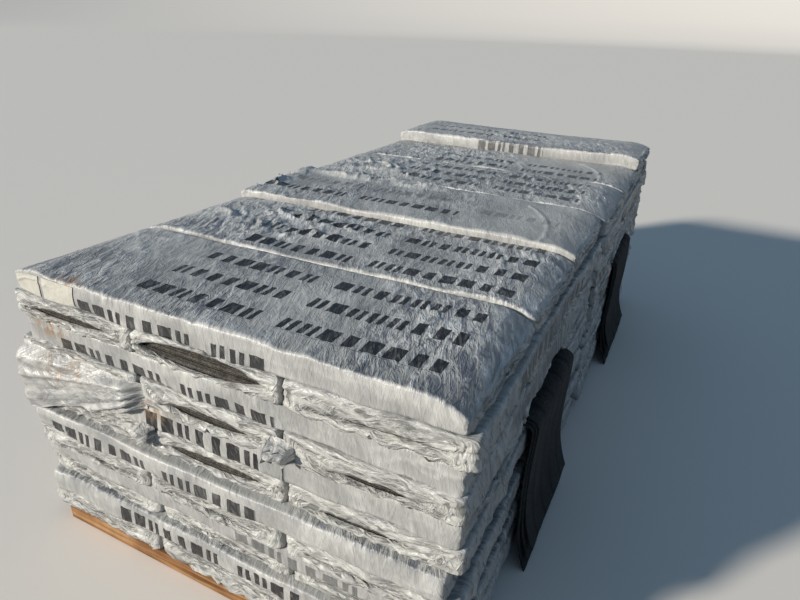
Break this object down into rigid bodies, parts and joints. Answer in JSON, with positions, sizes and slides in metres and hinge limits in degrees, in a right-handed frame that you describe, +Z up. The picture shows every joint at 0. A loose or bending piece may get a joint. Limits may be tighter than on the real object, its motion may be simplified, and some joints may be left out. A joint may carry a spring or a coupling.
{
  "type": "stack of asphalt shingle bundles",
  "caption": "Stack of film-wrapped asphalt shingle bundles laid crossways in courses on timber bearers, with shingles hanging out of torn bundles at one side.",
  "frame": {"origin": "middle of the footprint, on the ground under the bearers", "axes": "+Z up, +Y from the front face to the back, +X to the right of the front face"},
  "size_m": [1.0832, 2.1082, 0.697],
  "materials": {
    "film": "thin printed polyethylene film, wrinkled",
    "shingles": "asphalt with mineral granules",
    "timber": "rough sawn softwood, damp and dusty",
    "label": "plain cream paper"
  },
  "bodies": {
    "root": {"front_bearer_1": "timber", "front_bearer_2": "timber", "front_bearer_3": "timber", "front_course_01_wrappers": "film", "front_course_02_wrappers": "film", "front_course_03_wrappers": "film", "front_course_04_wrappers": "film", "front_course_05_wrappers": "film", "front_course_06_wrappers": "film", "front_course_07_wrappers": "film", "front_course_08_wrappers": "film", "front_course_09_wrappers": "film", "front_course_10_wrappers": "film", "front_course_11_wrappers": "film", "front_course_12_wrappers": "film", "front_hanging_shingles": "shingles", "front_shingle_packs": "shingles", "odd_bundle_shingles": "shingles", "odd_bundle_wrapper": "film", "paper_label": "label", "rear_bearer_1": "timber", "rear_bearer_2": "timber", "rear_bearer_3": "timber", "rear_course_01_wrappers": "film", "rear_course_02_wrappers": "film", "rear_course_03_wrappers": "film", "rear_course_04_wrappers": "film", "rear_course_05_wrappers": "film", "rear_course_06_wrappers": "film", "rear_course_07_wrappers": "film", "rear_course_08_wrappers": "film", "rear_course_09_wrappers": "film", "rear_course_10_wrappers": "film", "rear_course_11_wrappers": "film", "rear_course_12_wrappers": "film", "rear_hanging_shingles": "shingles", "rear_shingle_packs": "shingles"}
  },
  "joints": []
}
